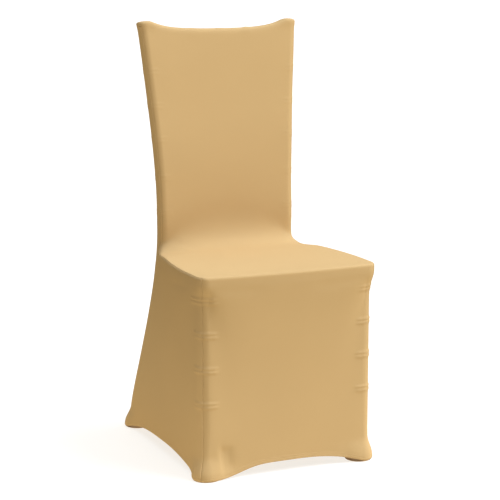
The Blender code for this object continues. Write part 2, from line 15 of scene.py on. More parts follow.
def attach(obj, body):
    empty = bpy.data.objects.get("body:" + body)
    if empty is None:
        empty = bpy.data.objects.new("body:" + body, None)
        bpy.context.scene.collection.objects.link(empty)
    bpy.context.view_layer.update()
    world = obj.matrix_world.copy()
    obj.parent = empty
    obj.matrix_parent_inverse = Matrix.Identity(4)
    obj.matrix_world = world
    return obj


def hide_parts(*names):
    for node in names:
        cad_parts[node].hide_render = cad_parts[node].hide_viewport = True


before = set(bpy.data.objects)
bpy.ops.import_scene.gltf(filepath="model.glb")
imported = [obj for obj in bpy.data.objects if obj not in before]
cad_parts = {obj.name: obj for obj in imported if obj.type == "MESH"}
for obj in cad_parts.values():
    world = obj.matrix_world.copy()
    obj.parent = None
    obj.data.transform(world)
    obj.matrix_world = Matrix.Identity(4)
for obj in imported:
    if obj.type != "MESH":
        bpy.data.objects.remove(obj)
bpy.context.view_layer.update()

bl_info = {
    "name": "Stretch chair cover",
    "version": (1, 0, 0),
    "blender": (4, 5, 0),
    "location": "View3D > Sidebar > Chair cover",
    "description": "A stretch cover for a ringed banquet chair, in four sewn panels with foot pockets",
    "category": "Object",
}

# Where the panels' lower edges stand above the floor
FLOOR_HEM = 0.0025

# Front legs: one upright post at each front corner
FRONT_LEG_X = 0.1770
FRONT_LEG_Y = -0.2097
FRONT_LEG_RADIUS = 0.0195
FRONT_LEG_RINGS = (0.160, 0.234, 0.307, 0.379)

# Rear posts: the splayed rear leg below the seat and the reclined back post above it
REAR_POSTS = (
    # height, half spacing, depth
    (0.000, 0.1700, 0.2183),
    (0.048, 0.1738, 0.2000),
    (0.095, 0.1726, 0.1830),
    (0.190, 0.1642, 0.1526),
    (0.286, 0.1542, 0.1279),
    (0.381, 0.1462, 0.1097),
    (0.476, 0.1446, 0.1012),
    (0.571, 0.1450, 0.1046),
    (0.667, 0.1498, 0.1127),
    (0.762, 0.1565, 0.1249),
    (0.857, 0.1645, 0.1361),
    (0.924, 0.1705, 0.1458),
)
REAR_LEG_RADIUS = 0.0186
BACK_POST_RADIUS = 0.0171
THINNING_END = 0.48
THINNING_LENGTH = 0.12
BACK_POST_RINGS = (0.513, 0.589, 0.672, 0.745, 0.818)

# A round foot at the floor, and a lip at a back post's top
FOOT_RADIUS = 0.0300
FOOT_FLARE_TOP = 0.052
FOOT_FLARE_END = 0.011
FOOT_EDGE = 0.0060
FOOT_REACH = 0.026
FRONT_FOOT_REACH = 0.040
HORN_LIP = 0.0018
HORN_LIP_HEIGHT = 0.010

# The seat: a board with bowed edges, round front corners and a crisp top edge
SEAT_TOP = 0.4308
SEAT_EDGE = 0.0060
SEAT_SIDE_FOOT = 0.408
CORNER_X = 0.1780
CORNER_Y = -0.2172
CORNER_RADIUS = 0.0250
CORNER_SWING = 1.6
FRONT_BOW = 0.0061
SIDE_WIDEST_X = 0.2043
SIDE_WIDEST_Y = -0.1650
SIDE_CURVE = 1.85

# How fast the cloth leaves the seat's edge for the legs: near a leg, and halfway between two legs
LEAVE_NEAR_LEG = (0.021, 1.8)
LEAVE_MIDDLE = (0.130, 1.2)

# The hollow sweep from the seat up to the back, in the middle and at the sides
SWEEP_DEPTH_MIDDLE = 0.085
SWEEP_HEIGHT_MIDDLE = 0.100
SWEEP_TIGHTNESS = 1.35
SWEEP_START_SIDE_Y = 0.0570
SWEEP_HEIGHT_SIDE = 0.0220

# The seat's rear corners are let down round this spot, by this much and over this width
CORNER_SINK = 0.0055
CORNER_SINK_WIDTH = 0.0320
CORNER_SINK_X = 0.1780
CORNER_SINK_Y = 0.0600

# The crest: the cloth dips between the two horns onto the top rail, leaning back as the posts do
HORN_TOP = 0.9254
HORN_ROUNDING = 0.0075
RAIL_ROUNDING = 0.0165
RAIL_DIP = 0.0188
DIP_START = 0.010
DIP_LENGTH = 0.036
ROUNDING_LENGTH = 0.022
HORN_SQUARENESS = 2.8
RAIL_SQUARENESS = 3.4
CREST_LEAN = 0.145

# The free hems arch up between the feet; a peak or a skew moves the highest point off the middle
FRONT_HEM_ARCH = 0.0215
FRONT_HEM_PEAK = 0.15
FRONT_HEM_LEFT = (3.2, 4.6)
FRONT_HEM_RIGHT = (1.0, 1.0)
REAR_HEM_ARCH = 0.0220
REAR_HEM_POWER = 2.1
SIDE_HEM_ARCH = 0.0250
SIDE_HEM_SKEW = 1.05
SIDE_HEM_POWER = 2.5

# Foot pockets: a flat sole with a rounded rim, and a wall standing inside the panels
POCKET_SOLE = 0.0022
SOLE_RADIUS = 0.0288
SOLE_RIM = 0.0018
SOLE_TOP_INSET = 0.0004
SOLE_RINGS = (0.0, 0.5, 0.86, 0.9, 0.94)
INNER_SOLE_RINGS = (0.8, 0.4, 0.0)
RIM_ROWS = 6
WALL_ROWS = 16
POCKET_SEGMENTS = 72
POCKET_HEIGHT = 0.030
POCKET_WALL = 0.0014
POCKET_CLEARANCE = 0.0030
POCKET_WELD = 0.00001
POCKET_SHARP_ANGLE = 60.0

# An eighth of a circle: how far its control point stands out from its chord, and its middle's facing
EIGHTH_BULGE = 1.0 / math.cos(math.pi / 8.0) - math.cos(math.pi / 8.0)
FACING_SIDE = math.cos(math.radians(67.5))
FACING_OUT = math.sin(math.radians(67.5))
FACING_UP = Vector((FACING_SIDE, 0.0, FACING_OUT))
FACING_FRONT = Vector((FACING_SIDE, -FACING_OUT, 0.0))

# How far the corner's rows would turn over the seat's rounded edge, in degrees; they stop at its top
CORNER_EDGE_TURN = 67.5

# Fineness of the cloth's mesh
HEM_ZONE = 0.012
HEM_STEP = 0.0011
RING_STEP = 0.0016
PLAIN_STEP = 0.0040
RING_ZONE = 0.011
ARC_COLUMNS = 9
SPAN_COLUMNS = 52
SPAN_CROWDING = 0.9
CORNER_ROWS = 12
SEAT_ROWS = 56
SWEEP_ROWS = 30
CREST_ROWS = 24
EDGE_STEPS = 6
WELD = 0.00002
TINY = 1e-9

# Softening of the skin: where, with sweep and corner heights from the seat's top, and how many times
SOFTENING = 0.5
SWEEP_SOFT_LOW = -0.004
SWEEP_SOFT_HIGH = 0.16
SWEEP_SOFT_Y = -0.03
SWEEP_SOFT_TIMES = 14
CORNER_SOFT_LOW = -0.035
CORNER_SOFT_HIGH = 0.05
CORNER_SOFT_X = 0.11
CORNER_SOFT_Y = 0.015
CORNER_SOFT_TIMES = 60
LEG_SOFT_LOW = 0.06
LEG_SOFT_REACH = 0.022
LEG_SOFT_TIMES = 16
CREST_SOFT_DEPTH = 0.030
CREST_SOFT_TIMES = 5
ALL_SOFT_TIMES = 2

# Turned rings under the cloth: two close ridges each, fading beside the post
RIDGE_APART = 0.0080
RIDGE_WIDTH = 0.0034
RING_FADE = 0.0040

# Shares of the ring height, and how far off its post a ring shows in full: furthest at the leg's top ring
LEG_RING_GAIN = 1.6
LEG_RING_SLACK = 0.0030
TOP_RING_SLACK = 0.0080
TOP_RING_FOOT = 0.335
BACK_RING_GAIN = 0.45

# Painted light and shade: how much lighter the cloth is painted at the floor and at the seat, lighter low
# where the floor's bounce light falls and darker, painted shade, at the seat; only the sides keep theirs
# above the seat
FRONT_PAINTED_LIGHT_LOW = 0.010
FRONT_PAINTED_SHADE_HIGH = -0.065
SIDE_PAINTED_LIGHT_LOW = 0.250
SIDE_PAINTED_SHADE_HIGH = -0.190
PAINTED_LIGHT_FADE = 0.012

# Rings of the top rail: where they cross it, how they lift the crest, and how far down they show
RAIL_RINGS = (-0.062, 0.004, 0.068)
RAIL_RING_HEIGHT = 0.0018
RAIL_RING_WIDTH = 0.0040
RAIL_RING_DEPTH = 0.030

# Soft creases placed one by one, in metres
CREASES = (
    # start, end, width, depth
    ((-0.1515, -0.229, 0.078), (-0.1445, -0.235, 0.006), 0.0044, 0.0026),
    ((-0.14, -0.229, 0.072), (-0.133, -0.232, 0.016), 0.0105, 0.0034),
    ((-0.193, -0.226, 0.43), (-0.193, -0.226, 0.04), 0.015, 0.0034),
    ((0.13, -0.236, 0.058), (0.141, -0.24, 0.008), 0.006, 0.0014),
    ((-0.199, -0.168, 0.05), (-0.204, -0.188, 0.006), 0.006, 0.0016),
    ((0.199, -0.168, 0.05), (0.204, -0.188, 0.006), 0.006, 0.0014),
    ((-0.184, 0.15, 0.07), (-0.187, 0.185, 0.008), 0.007, 0.0016),
    ((0.184, 0.15, 0.07), (0.187, 0.185, 0.008), 0.007, 0.0014),
    ((-0.202, -0.19, 0.404), (-0.2, -0.07, 0.392), 0.011, 0.0014),
    ((0.202, -0.19, 0.404), (0.2, -0.07, 0.392), 0.011, 0.0012),
    ((-0.178, -0.244, 0.403), (-0.06, -0.246, 0.396), 0.012, 0.001),
    ((0.178, -0.244, 0.403), (0.05, -0.246, 0.394), 0.012, 0.001),
    ((0.12, 0.03, 0.431), (0.176, 0.012, 0.431), 0.0045, 0.0007),
    ((0.128, 0.002, 0.431), (0.182, -0.014, 0.431), 0.0045, 0.0006),
    ((0.134, -0.026, 0.431), (0.187, -0.04, 0.431), 0.005, 0.0005),
    ((0.06, 0.036, 0.44), (0.14, 0.078, 0.452), 0.009, 0.0009),
    ((-0.06, 0.036, 0.44), (-0.14, 0.078, 0.452), 0.009, 0.0009),
    ((-0.12, 0.092, 0.8), (0.12, 0.092, 0.8), 0.014, 0.0004),
)
CREASE_TAPER = 0.35
CREASE_END_SHARE = 0.25
CREASE_REACH = 3.0

# The hem's edge, its stitch line, and the slow waves in the cloth
HEM_SOFTNESS = 2.0 * HEM_STEP
STITCH_SHARE = 0.9
WAVES_PER_METRE = 9.0
WAVE_FADE = 0.05

# The knit and its slow changes of tone
LOOP_SLANT = 0.5
RIB_SHARE = 0.65
LOOP_SHARE = 0.35
LOOP_POWER = 0.7
COURSE_SHARE = 0.82
KNIT_ROUGHNESS = 0.46
KNIT_BUMP = 0.35
KNIT_BUMP_SHARE = 0.12
TONE_SCALE = 6.0
TONE_DETAIL = 3.0
TONE_NOISE = (0.3, 0.7)
TONE_RANGE = (0.985, 1.015)

# The foot pockets' weave
WEAVE_SCALE = 900.0
WEAVE_DETAIL = 1.0
WEAVE_ROUGHNESS = 0.75
WEAVE_BUMP = 0.4
WEAVE_BUMP_HEIGHT = 0.0002

# Stage: a pale floor that gives off light of its own, a dim world and two soft tinted suns
FLOOR_RADIUS = 60.0
FLOOR_SIDES = 96
FLOOR_ROUGHNESS = 0.9
FLOOR_GLOW = (1.0, 0.975, 0.915, 1.0)
FLOOR_GLOW_STRENGTH = 0.82
WORLD_STRENGTH = 0.05
SUN_TINT = (1.0, 1.16, 1.60)
SUN_DISTANCE = 3.0
SUNS = (
    # name, the way from the cover to it, strength, softness in degrees
    ("key", (0.58, -0.37, 0.72), 1.00, 42.0),
    ("top", (0.0, -0.02, 0.56), 0.60, 70.0),
)

# Camera: the photo's own view
CAMERA_TARGET = (-0.0075, -0.0512, 0.4427)
CAMERA_AZIMUTH = -24.0
CAMERA_ELEVATION = 10.4
CAMERA_DISTANCE = 3.572
CAMERA_LENS = 119.66
SENSOR = 36.0


def metres(name, description, default, low, high):
    return bpy.props.FloatProperty(
        name=name, description=description, default=default, min=low, max=high, unit="LENGTH"
    )


def tint(name, description, default):
    value = (*default, 1.0)
    return bpy.props.FloatVectorProperty(
        name=name, description=description, default=value, subtype="COLOR", size=4, min=0.0, max=1.0
    )


class CoverSizes(bpy.types.PropertyGroup):
    """Sizes of the cloth that a user would change."""

    cloth: metres("Cloth thickness", "Thickness of the stretched knit", 0.0010, 0.0004, 0.003)
    hem_width: metres("Hem width", "Height of the turned hem along the lower edges", 0.0085, 0.004, 0.020)
    hem_rise: metres("Hem rise", "How far the doubled cloth of the hem stands out", 0.0006, 0.0, 0.002)
    seam_depth: metres("Seam depth", "How far the cloth rolls in along a sewn seam", 0.0003, 0.0, 0.003)
    seam_width: metres("Seam width", "Half width of the roll along a sewn seam", 0.0013, 0.0008, 0.006)
    ring_height: metres("Ring height", "How far a post's turned rings lift the cloth", 0.0010, 0.0, 0.004)
    unevenness: metres("Unevenness", "Slow waves left in the stretched cloth", 0.0007, 0.0, 0.003)
    wale_pitch: metres("Wale pitch", "Spacing of the knit's columns of loops", 0.0011, 0.0004, 0.004)


class CoverColours(bpy.types.PropertyGroup):
    """Colours of the cloth, the foot pockets and the floor."""

    cloth: tint("Cloth", "Sand colour of the knit", (0.625, 0.394, 0.152))
    # The darker colour between the loops is painted shade in the knit's hollows
    shade: tint("Between the loops", "Darker colour between the knit's loops", (0.47, 0.275, 0.092))
    sole: tint("Foot pocket", "Colour of the foot pockets' denser cloth", (0.50, 0.33, 0.17))
    floor: tint("Floor", "Pale floor under the cover", (0.30, 0.27, 0.22))


# Shapes shared by every panel


def eased(value):
    """0 to 1 with a soft start and end."""
    value = min(max(value, 0.0), 1.0)
    return value * value * (3.0 - 2.0 * value)


def mixed(a, b, share):
    return a + (b - a) * share


def bell(distance, width):
    return math.exp(-((distance / width) ** 2))


def read(table, height, column):
    """A smooth curve through one column of a table whose first column is the height."""
    last = len(table) - 1
    row = 0
    while row < last - 1 and table[row + 1][0] < height:
        row += 1
    below, above = table[row], table[row + 1]
    step = above[0] - below[0]

    def slope(index):
        low, high = table[max(index - 1, 0)], table[min(index + 1, last)]
        return (high[column] - low[column]) / (high[0] - low[0])

    t = (height - below[0]) / step
    rise = t * t * (3.0 - 2.0 * t)
    start = t * (1.0 - t) ** 2 * step * slope(row)
    end = -t * t * (1.0 - t) * step * slope(row + 1)
    return mixed(below[column], above[column], rise) + start + end


def foot(height, leg_radius):
    """How far the cloth stands out over the foot, with its lower edge rounded in."""
    share = eased((FOOT_FLARE_TOP - height) / (FOOT_FLARE_TOP - FOOT_FLARE_END))
    out = (FOOT_RADIUS - leg_radius) * share
    if height < FOOT_EDGE:
        out -= FOOT_EDGE - math.sqrt(FOOT_EDGE**2 - (FOOT_EDGE - height) ** 2)
    return out


class Post:
    """A post at one height: its middle, its bare radius and the foot that stands out from it there."""

    def __init__(self, x, y, bare, flare):
        self.x = x
        self.y = y
        self.bare = bare
        self.flare = flare
        self.radius = bare + flare

    def reach(self, away, foot_reach=FOOT_REACH):
        """The radius as the stretched cloth still shows it, this far from the post."""
        return self.bare + self.flare * bell(away, foot_reach)

    def at(self, angle):
        """The point on its round side: 0 faces outwards (+X), 90 the front, -90 the rear."""
        turn = math.radians(angle)
        return self.x + self.radius * math.cos(turn), self.y - self.radius * math.sin(turn)


def front_leg(height):
    return Post(FRONT_LEG_X, FRONT_LEG_Y, FRONT_LEG_RADIUS, foot(height, FRONT_LEG_RADIUS))


def rear_post(height):
    bare = mixed(BACK_POST_RADIUS, REAR_LEG_RADIUS, eased((THINNING_END - height) / THINNING_LENGTH))
    lip_start = HORN_TOP - HORN_ROUNDING - HORN_LIP_HEIGHT
    bare += HORN_LIP * eased((height - lip_start) / HORN_LIP_HEIGHT)
    x, y = read(REAR_POSTS, height, 1), read(REAR_POSTS, height, 2)
    return Post(x, y, bare, foot(height, REAR_LEG_RADIUS))


def on_rear_post(height, angle):
    x, y = rear_post(height).at(angle)
    return Vector((x, y, height))


def seat_share(height, nearness):
    """1 where the cloth lies on the seat's edge, falling to 0 below; nearness is 1 beside a leg."""
    drop = max(0.0, SEAT_SIDE_FOOT - height)
    length = mixed(LEAVE_MIDDLE[0], LEAVE_NEAR_LEG[0], nearness)
    power = mixed(LEAVE_MIDDLE[1], LEAVE_NEAR_LEG[1], nearness)
    return math.exp(-((drop / length) ** power))


def edge(angle):
    """(inset, height) on the seat's rounded top edge: 0 is its side, 90 its top."""
    turn = math.radians(angle)
    return SEAT_EDGE * (1.0 - math.cos(turn)), SEAT_TOP - SEAT_EDGE * (1.0 - math.sin(turn))


def seat_side_x(y, height):
    """Half the seat's width at a depth, ending on the rear post's outer face."""
    if y < SIDE_WIDEST_Y:
        share = (SIDE_WIDEST_Y - y) / (SIDE_WIDEST_Y - CORNER_Y)
        return mixed(SIDE_WIDEST_X, CORNER_X + CORNER_RADIUS, share**2)
    post = rear_post(height)
    share = (y - SIDE_WIDEST_Y) / (post.y - SIDE_WIDEST_Y)
    return mixed(SIDE_WIDEST_X, post.x + post.radius, share**SIDE_CURVE)


def corner_round(turn, inset):
    reach = CORNER_RADIUS - inset
    return CORNER_X + reach * math.cos(turn), CORNER_Y - reach * math.sin(turn)


def corner(angle, height, inset):
    """Over the front leg at an angle, drawn out to the seat's round corner near the top."""
    leg_x, leg_y = front_leg(height).at(angle)
    seat_x, seat_y = corner_round(math.radians(angle), inset)
    share = seat_share(height, 1.0)
    return Vector((mixed(leg_x, seat_x, share), mixed(leg_y, seat_y, share), height))


def hemmed(height, lift, top):
    """A height moved up with the hem below it, fading out towards top."""
    share = min(max((top - height) / (top - FLOOR_HEM), 0.0), 1.0)
    return height + lift * share


def rounded(start, end, radius, facing, share):
    """A soft bend from start to end, the eighth of a circle bulging towards facing."""
    middle = (start + end) / 2.0 + facing.normalized() * radius * EIGHTH_BULGE
    return start * (1.0 - share) ** 2 + middle * 2.0 * share * (1.0 - share) + end * share**2


# Front panel: across, 0 to 1 is the span from the middle to a post, and 1 to 2 an eighth of a turn round it


def front_skirt(across, height, angle, side):
    """On the front skirt; angle is 0 below the seat's rounded top edge, side is -1 on the left half."""
    inset, edge_height = edge(angle)
    if angle > 0.0:
        height = edge_height
    if across > 1.0:
        return corner(90.0 - 45.0 * (across - 1.0), height, inset)
    place = across * side - FRONT_HEM_PEAK * (1.0 - across**2)
    rise, full = FRONT_HEM_RIGHT if place > 0.0 else FRONT_HEM_LEFT
    arch = 1.0 - (1.0 - (1.0 - place**2) ** rise) ** full
    lifted = hemmed(height, FRONT_HEM_ARCH * arch, SEAT_TOP - SEAT_EDGE)
    leg = front_leg(lifted)
    away = (1.0 - across) * leg.x
    seat_y = CORNER_Y - CORNER_RADIUS - FRONT_BOW * (1.0 - across**2) + inset
    share = seat_share(lifted, across**4)
    x = across * mixed(leg.x, CORNER_X, share)
    return Vector((x, mixed(leg.y - leg.reach(away, FRONT_FOOT_REACH), seat_y, share), lifted))


def side_edge(y):
    """On the side's seam along the seat, halfway round the rounded edge."""
    inset, height = edge(45.0)
    return Vector((seat_side_x(y, height) - inset, y, height))


def sweep_start_y(across):
    """Where the seat begins to sweep up to the back."""
    post = rear_post(SEAT_TOP)
    middle = post.y - post.radius - SWEEP_DEPTH_MIDDLE
    return mixed(middle, SWEEP_START_SIDE_Y, min(across, 1.0) ** 2)


def seat_corner_row(across, turned):
    """Rows that turn with the seam round the front corner; turned goes from 0 to 1."""
    seam_inset, seam_height = edge(45.0)
    seam = corner(45.0 * (1.0 - turned), seam_height, seam_inset)
    inset, height = edge(min(45.0 + CORNER_EDGE_TURN * turned, 90.0))
    swing = math.radians(90.0 * (1.0 - turned**CORNER_SWING))
    end_x, end_y = corner_round(swing, inset)
    if across > 1.0:
        facing = FACING_FRONT.lerp(FACING_UP, turned)
        radius = mixed(CORNER_RADIUS, SEAT_EDGE, turned)
        return rounded(Vector((end_x, end_y, height)), seam, radius, facing, across - 1.0)
    bow = FRONT_BOW * (1.0 - across**2)
    return Vector((across * end_x, end_y - bow, height))


def seat_row(across, y):
    """Flat rows over the seat; y is where the row meets the side's seam."""
    seam = side_edge(y)
    end = Vector((seat_side_x(y, SEAT_TOP) - SEAT_EDGE, y, SEAT_TOP))
    if across > 1.0:
        return rounded(end, seam, SEAT_EDGE, FACING_UP, across - 1.0)
    share = (y - CORNER_Y) / (SWEEP_START_SIDE_Y - CORNER_Y)
    front = CORNER_Y - FRONT_BOW * (1.0 - across**2)
    return Vector((across * end.x, mixed(front, sweep_start_y(across), share), SEAT_TOP))


def sweep_seam(angle, inward=0.0):
    """The side seam in the hollow corner between seat and back; inward 1 is on the post's outer face."""
    turn = math.radians(angle)
    start = side_edge(SWEEP_START_SIDE_Y)
    height = start.z + SWEEP_HEIGHT_SIDE * (1.0 - math.cos(turn))
    post = rear_post(height)
    share = math.sin(turn) ** 2
    x_post, y_post = post.at(45.0 * (1.0 - inward))
    y_web = mixed(mixed(start.y, post.at(45.0)[1], math.sin(turn)), post.y, inward)
    inset = edge(45.0)[0] * (1.0 - inward) ** 2
    x_web = seat_side_x(y_web, height) - inset
    return Vector((mixed(x_web, x_post, share), mixed(y_web, y_post, share), height))


def sweep_row(across, angle):
    """Rows of the hollow sweep; angle goes from 0 on the seat to 90 on the back."""
    turn = math.radians(angle)
    span = min(across, 1.0)
    rise = mixed(SWEEP_HEIGHT_MIDDLE, SWEEP_HEIGHT_SIDE + edge(45.0)[0], span**2)
    start_y = sweep_start_y(across)
    top = SEAT_TOP + rise - edge(45.0)[0] * span**2 * math.sin(turn) ** 2
    post = rear_post(SEAT_TOP + rise)
    seat_x = seat_side_x(SWEEP_START_SIDE_Y, SEAT_TOP) - SEAT_EDGE
    share = math.sin(turn) ** 2
    tightness = mixed(SWEEP_TIGHTNESS, 1.0, span**2)
    inwards = 1.0 - (1.0 - math.sin(turn)) ** tightness
    upwards = (1.0 - math.cos(turn)) ** tightness
    point = Vector((
        span * mixed(seat_x, post.x, share),
        mixed(start_y, post.y - post.bare, inwards),
        mixed(SEAT_TOP, top, upwards),
    ))
    if across <= 1.0:
        return point
    facing = FACING_UP.lerp(FACING_FRONT, share)
    radius = mixed(SEAT_EDGE, post.bare, share)
    return rounded(point, sweep_seam(angle), radius, facing, across - 1.0)


def crest(away):
    """(top, rounding, squareness) of the crest, this far inwards from a horn's middle."""
    dip = 1.0 - math.exp(-max(away - DIP_START, 0.0) / DIP_LENGTH)
    rail = 1.0 - math.exp(-max(away - DIP_START, 0.0) / ROUNDING_LENGTH)
    rounding = mixed(HORN_ROUNDING, RAIL_ROUNDING, rail)
    return HORN_TOP - RAIL_DIP * dip, rounding, mixed(HORN_SQUARENESS, RAIL_SQUARENESS, rail)


def rim_height(across):
    """Where the back's face meets the crest's rounding."""
    away = (1.0 - min(across, 1.0)) * rear_post(HORN_TOP - HORN_ROUNDING).x
    top, rounding, _ = crest(away)
    return top - rounding


def back_face(across, height, low, base, side):
    """On the inside (side 1) or outside (-1) of the back; base is its level where the seam is at low."""
    if across > 1.0:
        return on_rear_post(height, side * (90.0 - 45.0 * (across - 1.0)))
    share = (height - low) / (HORN_TOP - HORN_ROUNDING - low)
    level = mixed(base, rim_height(across), share)
    post = rear_post(level)
    away = (1.0 - across) * post.x
    return Vector((across * post.x, post.y - side * post.reach(away), level))


def inside_back(across, height):
    return back_face(across, height, sweep_seam(90.0).z, sweep_row(across, 90.0).z, 1.0)


def crest_row(across, angle):
    """Rows over the crest; angle goes from 0 at the front to 180 at the rear."""
    turn = math.radians(angle)
    span = min(across, 1.0)
    rim = rim_height(across)
    post = rear_post(rim)
    away = (1.0 - span) * post.x
    _, rounding, squareness = crest(away)
    power = 2.0 / squareness
    reach = post.reach(away)
    if across <= 1.0:
        forward = math.copysign(abs(math.cos(turn)) ** power, math.cos(turn)) * reach
        up = abs(math.sin(turn)) ** power * rounding
        tilt = CREST_LEAN * forward * up / rounding
        return Vector((across * post.x, post.y - forward + CREST_LEAN * up, rim + up + tilt))
    outward = math.radians(45.0 - angle / 2.0)
    seam = Vector((math.cos(outward), -math.sin(outward), 0.0))
    middle = Vector((0.0, -math.cos(turn), math.sin(turn)))
    way = middle.slerp(seam, across - 1.0, middle).normalized()
    level = math.hypot(way.x, way.y)
    if level > TINY:
        way.x, way.y = way.x / level * level**power * reach, way.y / level * level**power * reach
    up = max(way.z, 0.0) ** power * rounding
    tilt = -CREST_LEAN * way.y * up / rounding
    return Vector((post.x + way.x, post.y + way.y + CREST_LEAN * up, rim + up + tilt))


# Back panel: across as on the front panel


def rear_skirt(across, height):
    if across > 1.0:
        return on_rear_post(height, -90.0 + 45.0 * (across - 1.0))
    lifted = hemmed(height, REAR_HEM_ARCH * (1.0 - across**REAR_HEM_POWER), SEAT_TOP - SEAT_EDGE)
    post = rear_post(lifted)
    away = (1.0 - across) * post.x
    return Vector((across * post.x, post.y + post.reach(away), lifted))


def outside_back(across, height):
    low = sweep_seam(0.0).z
    return back_face(across, height, low, low, -1.0)


# Side panel: along, 0 to 1 is round the front leg, 1 to 3 the span, and 3 to 4 round the rear post


def side_skirt(along, height, angle):
    """On the side skirt; along, 1 to 2 is beside the seat and 2 to 3 below the hollow corner."""
    inset, edge_height = edge(angle)
    if angle > 0.0:
        height = edge_height
    if along < 1.0:
        return corner(45.0 * (1.0 - along), height, inset)
    if along > 3.0:
        return on_rear_post(height, -45.0 * (along - 3.0))
    post_y = rear_post(SEAT_TOP).y
    turn_off = (SWEEP_START_SIDE_Y - FRONT_LEG_Y) / (post_y - FRONT_LEG_Y)
    if along < 2.0:
        share = turn_off * (along - 1.0)
    else:
        share = mixed(turn_off, 1.0, along - 2.0)
    arch = 1.0 - abs(2.0 * share**SIDE_HEM_SKEW - 1.0) ** SIDE_HEM_POWER
    lifted = hemmed(height, SIDE_HEM_ARCH * arch, SEAT_TOP - SEAT_EDGE)
    leg, post = front_leg(lifted), rear_post(lifted)
    length = post.y - leg.y
    out = max(leg.reach(share * length) - leg.bare, post.reach((1.0 - share) * length) - post.bare)
    leg_x = mixed(leg.x + leg.bare, post.x + post.bare, share) + out
    leg_y = mixed(leg.y, post.y, share)
    if along < 2.0:
        seat_y = mixed(CORNER_Y, SWEEP_START_SIDE_Y, along - 1.0)
        fade = 1.0
    else:
        seat_y = mixed(SWEEP_START_SIDE_Y, post.y, along - 2.0)
        fade = (3.0 - along) ** 2
    seat_x = seat_side_x(seat_y, lifted) - inset * fade
    nearness = max((1.0 - share) ** 4, 0.0)
    held = seat_share(lifted, nearness)
    return Vector((mixed(leg_x, seat_x, held), mixed(leg_y, seat_y, held), lifted))


def side_sweep(along, angle):
    """The side panel beside the hollow corner between seat and back."""
    if along <= 3.0:
        return sweep_seam(angle, along - 2.0)
    return on_rear_post(sweep_seam(angle).z, -45.0 * (along - 3.0))


def side_back(along, height):
    """The side panel up the back post's outer side."""
    return on_rear_post(height, 45.0 - 45.0 * (along - 2.0))


# Rows and columns


def steps(start, end, count):
    """count values after start, the last one end."""
    return [mixed(start, end, (index + 1) / count) for index in range(count)]


def climb(low, high, rings):
    """Heights from low to high, close together at the rings."""
    heights = []
    level = low
    while level < high - PLAIN_STEP / 2.0:
        heights.append(level)
        near = any(abs(level - middle) < RING_ZONE for middle in rings)
        level += RING_STEP if near else PLAIN_STEP
    return heights


def skirt_heights():
    hem_top = FLOOR_HEM + HEM_ZONE
    hem = [FLOOR_HEM] + steps(FLOOR_HEM, hem_top, round((hem_top - FLOOR_HEM) / HEM_STEP))
    top = SEAT_TOP - SEAT_EDGE
    return hem + climb(hem_top + HEM_STEP, top, FRONT_LEG_RINGS) + [top]


def back_heights():
    """Above the hollow corner, which ends at sweep_seam(90)."""
    start = sweep_seam(90.0).z + PLAIN_STEP
    rim = HORN_TOP - HORN_ROUNDING
    return climb(start, rim, BACK_POST_RINGS) + [rim]


def even_rows(place, values):
    """Rows that are the same on either half of the front or back panel."""
    return [lambda across, _, value=value: place(across, value) for value in values]


def front_rows():
    rows = [lambda across, side, h=h: front_skirt(across, h, 0.0, side) for h in skirt_heights()]
    angles = steps(0.0, 45.0, EDGE_STEPS)
    rows += [lambda across, side, a=a: front_skirt(across, 0.0, a, side) for a in angles]
    rows += even_rows(seat_corner_row, steps(0.0, 1.0, CORNER_ROWS))
    rows += even_rows(seat_row, steps(CORNER_Y, SWEEP_START_SIDE_Y, SEAT_ROWS))
    rows += even_rows(sweep_row, steps(0.0, 90.0, SWEEP_ROWS))
    rows += even_rows(inside_back, back_heights())
    return rows + even_rows(crest_row, steps(0.0, 180.0, CREST_ROWS))


def back_rows():
    low = skirt_heights() + [edge(angle)[1] for angle in steps(0.0, 45.0, EDGE_STEPS)]
    high = [sweep_seam(angle).z for angle in steps(0.0, 90.0, SWEEP_ROWS)] + back_heights()
    return even_rows(rear_skirt, low) + even_rows(outside_back, high)


def side_rows():
    rows = [lambda along, h=h: side_skirt(along, h, 0.0) for h in skirt_heights()]
    rows += [lambda along, a=a: side_skirt(along, 0.0, a) for a in steps(0.0, 45.0, EDGE_STEPS)]
    rows += [lambda along, a=a: side_sweep(along, a) for a in steps(0.0, 90.0, SWEEP_ROWS)]
    rows += [lambda along, h=h: side_back(along, h) for h in back_heights()]
    return rows


def across_columns():
    """-2 to 2, from the left seam to the right one, closer together towards the posts."""
    shares = steps(0.0, 1.0, SPAN_COLUMNS // 2)
    span = [math.sin(share * math.pi / 2.0) ** SPAN_CROWDING for share in shares]
    half = span + steps(1.0, 2.0, ARC_COLUMNS)
    return [-value for value in reversed(half)] + [0.0] + half


def along_columns():
    half = CREST_ROWS // 2
    columns = [0.0] + steps(0.0, 1.0, ARC_COLUMNS) + steps(1.0, 2.0, SEAT_ROWS)
    return columns + steps(2.0, 3.0, half) + steps(3.0, 4.0, half)


def sunk(point, sign):
    """The point on its own side, let down where the cloth is drawn from the posts over the seat's edge."""
    away = math.hypot(point.x - CORNER_SINK_X, point.y - CORNER_SINK_Y)
    low = CORNER_SINK * bell(away, CORNER_SINK_WIDTH) * bell(point.z - SEAT_TOP, CORNER_SINK_WIDTH)
    return Vector((point.x * sign, point.y, point.z - low))


def across_point(row, value):
    """A half-panel row read on either side of the middle."""
    side = -1.0 if value < 0.0 else 1.0
    return sunk(row(abs(value), side), side)


# Sewing: the panels are drawn as one skin, so that neighbours share each seam's points


def run_lengths(points, first):
    """Distances along a line of points, 0 at the point numbered first; None is cloth cut away."""
    total = 0.0
    lengths = []
    last = None
    for point in points:
        if point is not None and last is not None:
            total += (point - last).length
        last = point if point is not None else last
        lengths.append(total)
    return [length - lengths[first] for length in lengths]


